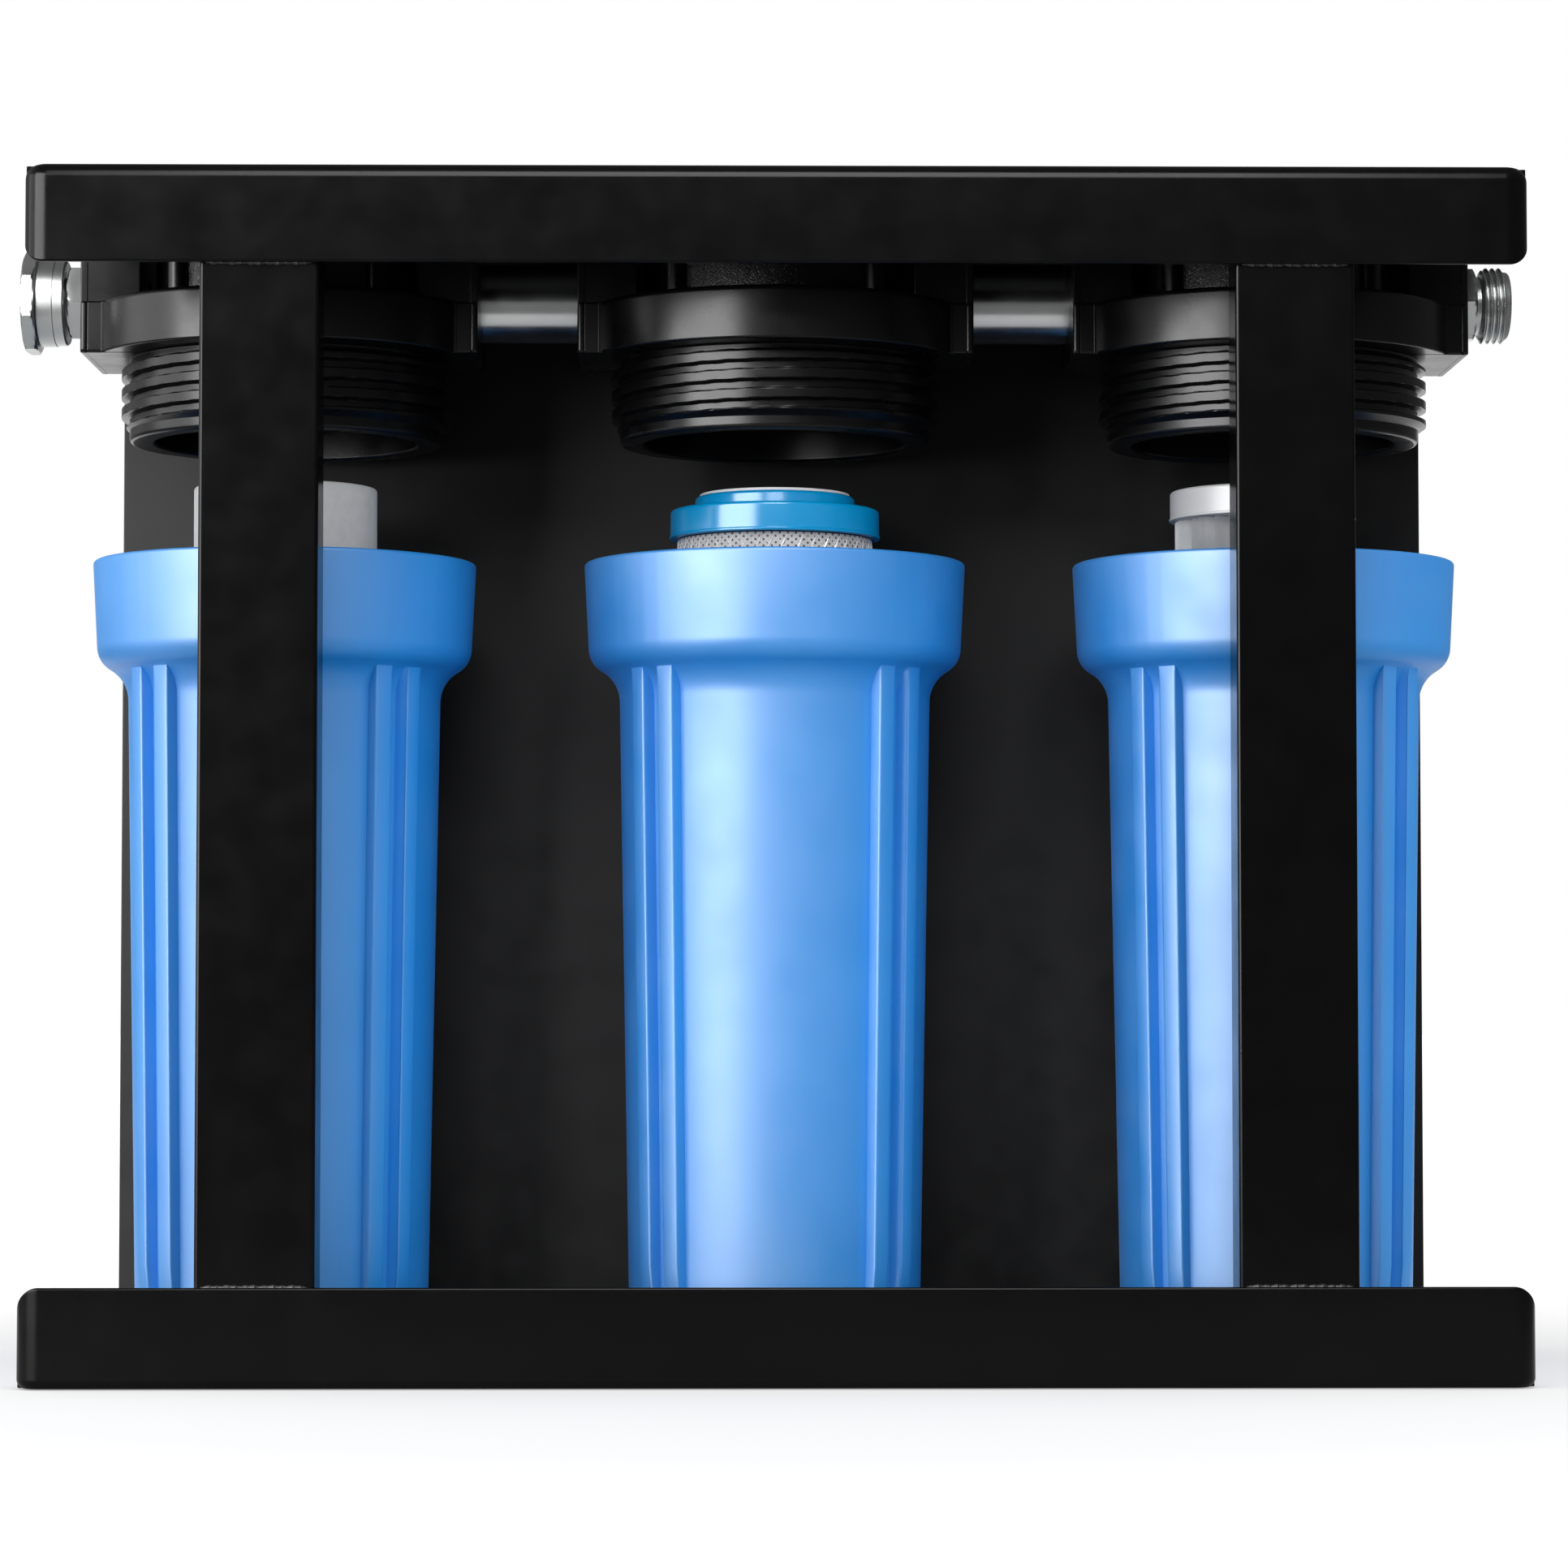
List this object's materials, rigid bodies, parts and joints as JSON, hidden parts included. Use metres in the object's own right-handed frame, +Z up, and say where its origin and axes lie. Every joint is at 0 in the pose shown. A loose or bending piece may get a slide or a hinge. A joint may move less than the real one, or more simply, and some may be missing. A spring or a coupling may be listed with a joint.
{
  "type": "rv water filter system",
  "caption": "Three-stage water filter: steel frame with filter heads, screw-on sumps standing in its tray with their cartridges, swivel hose inlet and threaded outlet.",
  "frame": {"origin": "under the middle of the tray, on the plane that the tray stands on", "axes": "+X from the inlet to the outlet, -Y to the open front, +Z up along the axes of the sumps"},
  "size_m": [0.5071, 0.17, 0.396],
  "materials": {
    "powder_coat": "satin powder coat with a fine orange peel",
    "head_plastic": "grained black moulding",
    "stainless": "satin",
    "screw_steel": "zinc plated",
    "sump_plastic": "satin",
    "cap_blue": "gloss",
    "cap_white": "satin",
    "gasket_white": "matte",
    "netting_white": "satin",
    "spun_media": "matte",
    "pleated_media": "matte",
    "carbon": "matte",
    "rubber": "matte"
  },
  "bodies": {
    "frame": {"back_panel": "powder_coat", "bottom_tray": "powder_coat", "filter_head_centre": "head_plastic", "filter_head_left": "head_plastic", "filter_head_right": "head_plastic", "front_post_left": "powder_coat", "front_post_right": "powder_coat", "head_screw_centre_1": "screw_steel", "head_screw_centre_2": "screw_steel", "head_screw_centre_3": "screw_steel", "head_screw_centre_4": "screw_steel", "head_screw_left_1": "screw_steel", "head_screw_left_2": "screw_steel", "head_screw_left_3": "screw_steel", "head_screw_left_4": "screw_steel", "head_screw_right_1": "screw_steel", "head_screw_right_2": "screw_steel", "head_screw_right_3": "screw_steel", "head_screw_right_4": "screw_steel", "inlet_adapter": "stainless", "inlet_hose_washer": "rubber", "nipple_centre_right": "stainless", "nipple_left_centre": "stainless", "outlet_adapter": "stainless", "top_canopy": "powder_coat"},
    "left_cartridge": {"left_cartridge_media": "spun_media"},
    "left_sump": {"sump_left": "sump_plastic", "sump_o_ring_left": "rubber"},
    "centre_cartridge": {"centre_cartridge_block": "carbon", "centre_cartridge_bottom_cap": "cap_blue", "centre_cartridge_bottom_gasket": "gasket_white", "centre_cartridge_netting": "netting_white", "centre_cartridge_top_cap": "cap_blue", "centre_cartridge_top_gasket": "gasket_white"},
    "centre_sump": {"sump_centre": "sump_plastic", "sump_o_ring_centre": "rubber"},
    "right_cartridge": {"right_cartridge_bottom_cap": "cap_white", "right_cartridge_bottom_gasket": "rubber", "right_cartridge_core": "cap_white", "right_cartridge_pleats": "pleated_media", "right_cartridge_top_cap": "cap_white", "right_cartridge_top_gasket": "rubber"},
    "right_sump": {"sump_right": "sump_plastic", "sump_o_ring_right": "rubber"},
    "inlet_nut": {"inlet_swivel_nut": "stainless"}
  },
  "joints": [
    {"name": "left_lift", "type": "slide", "parent": "frame", "child": "left_cartridge", "axis": [0, 0, 1], "range_m": [0, 0.0685]},
    {"name": "left_turn", "type": "hinge", "parent": "left_cartridge", "child": "left_sump", "pos_m": [-0.167, 0.01, 0], "axis": [0, 0, 1], "range_deg": [0, 3793.8]},
    {"name": "centre_lift", "type": "slide", "parent": "frame", "child": "centre_cartridge", "axis": [0, 0, 1], "range_m": [0, 0.0685]},
    {"name": "centre_turn", "type": "hinge", "parent": "centre_cartridge", "child": "centre_sump", "pos_m": [0, 0.01, 0], "axis": [0, 0, 1], "range_deg": [0, 3793.8]},
    {"name": "right_lift", "type": "slide", "parent": "frame", "child": "right_cartridge", "axis": [0, 0, 1], "range_m": [0, 0.0685]},
    {"name": "right_turn", "type": "hinge", "parent": "right_cartridge", "child": "right_sump", "pos_m": [0.167, 0.01, 0], "axis": [0, 0, 1], "range_deg": [0, 3793.8]},
    {"name": "inlet_nut_turn", "type": "hinge", "parent": "frame", "child": "inlet_nut", "pos_m": [-0.247, 0.01, 0.3617], "axis": [1, 0, 0], "continuous": true}
  ],
  "couplings": [
    {"joint": "left_lift", "follows": "left_turn", "m_per_rad": 0.0010345},
    {"joint": "centre_lift", "follows": "centre_turn", "m_per_rad": 0.0010345},
    {"joint": "right_lift", "follows": "right_turn", "m_per_rad": 0.0010345}
  ]
}
